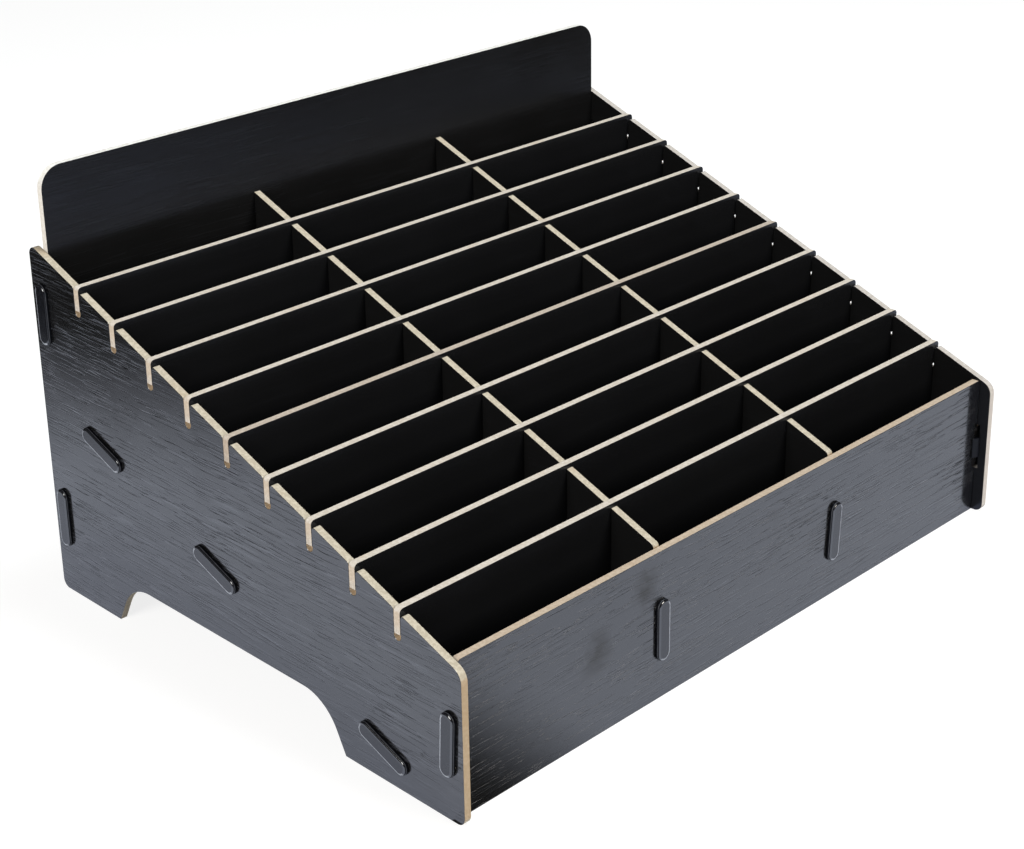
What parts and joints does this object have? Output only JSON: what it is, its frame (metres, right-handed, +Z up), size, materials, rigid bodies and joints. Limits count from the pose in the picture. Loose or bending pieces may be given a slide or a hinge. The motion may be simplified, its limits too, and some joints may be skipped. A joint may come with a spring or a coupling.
{
  "type": "phone storage rack",
  "caption": "Free-standing stepped rack of thin black wood-grain boards, plugged and clipped together, with lift-out dividers that form slots for phones on a sloping floor.",
  "frame": {"origin": "on the ground, midway between the side panels and midway between their front and rear edges", "axes": "+X to the right seen from the front, +Y to the back, +Z up"},
  "size_m": [0.314, 0.233, 0.1778],
  "materials": {
    "laminated_board": "black embossed wood-grain laminate on thin fibreboard, satin gloss, bare tan cut edges",
    "clip_plastic": "smooth glossy black moulded plastic"
  },
  "bodies": {
    "frame": {"left_side_panel": "laminated_board", "right_side_panel": "laminated_board", "front_panel": "laminated_board", "back_panel": "laminated_board", "floor_panel": "laminated_board", "column_divider_1": "laminated_board", "column_divider_2": "laminated_board", "clip_left_front": "clip_plastic", "clip_left_back_low": "clip_plastic", "clip_left_back_high": "clip_plastic", "clip_left_floor_rear": "clip_plastic", "clip_left_floor_middle": "clip_plastic", "clip_left_floor_front": "clip_plastic", "clip_right_front": "clip_plastic", "clip_right_back_low": "clip_plastic", "clip_right_back_high": "clip_plastic", "clip_right_floor_rear": "clip_plastic", "clip_right_floor_middle": "clip_plastic", "clip_right_floor_front": "clip_plastic", "clip_front_column_1": "clip_plastic", "clip_front_column_2": "clip_plastic", "clip_back_column_1": "clip_plastic", "clip_back_column_2": "clip_plastic"},
    "row_1": {"row_divider_1": "laminated_board"},
    "row_2": {"row_divider_2": "laminated_board"},
    "row_3": {"row_divider_3": "laminated_board"},
    "row_4": {"row_divider_4": "laminated_board"},
    "row_5": {"row_divider_5": "laminated_board"},
    "row_6": {"row_divider_6": "laminated_board"},
    "row_7": {"row_divider_7": "laminated_board"},
    "row_8": {"row_divider_8": "laminated_board"},
    "row_9": {"row_divider_9": "laminated_board"}
  },
  "joints": [
    {"name": "lift_row_1", "type": "slide", "parent": "frame", "child": "row_1", "axis": [0, 0, 1], "range_m": [0, 0.058]},
    {"name": "lift_row_2", "type": "slide", "parent": "frame", "child": "row_2", "axis": [0, 0, 1], "range_m": [0, 0.058]},
    {"name": "lift_row_3", "type": "slide", "parent": "frame", "child": "row_3", "axis": [0, 0, 1], "range_m": [0, 0.058]},
    {"name": "lift_row_4", "type": "slide", "parent": "frame", "child": "row_4", "axis": [0, 0, 1], "range_m": [0, 0.058]},
    {"name": "lift_row_5", "type": "slide", "parent": "frame", "child": "row_5", "axis": [0, 0, 1], "range_m": [0, 0.058]},
    {"name": "lift_row_6", "type": "slide", "parent": "frame", "child": "row_6", "axis": [0, 0, 1], "range_m": [0, 0.058]},
    {"name": "lift_row_7", "type": "slide", "parent": "frame", "child": "row_7", "axis": [0, 0, 1], "range_m": [0, 0.058]},
    {"name": "lift_row_8", "type": "slide", "parent": "frame", "child": "row_8", "axis": [0, 0, 1], "range_m": [0, 0.058]},
    {"name": "lift_row_9", "type": "slide", "parent": "frame", "child": "row_9", "axis": [0, 0, 1], "range_m": [0, 0.058]}
  ]
}
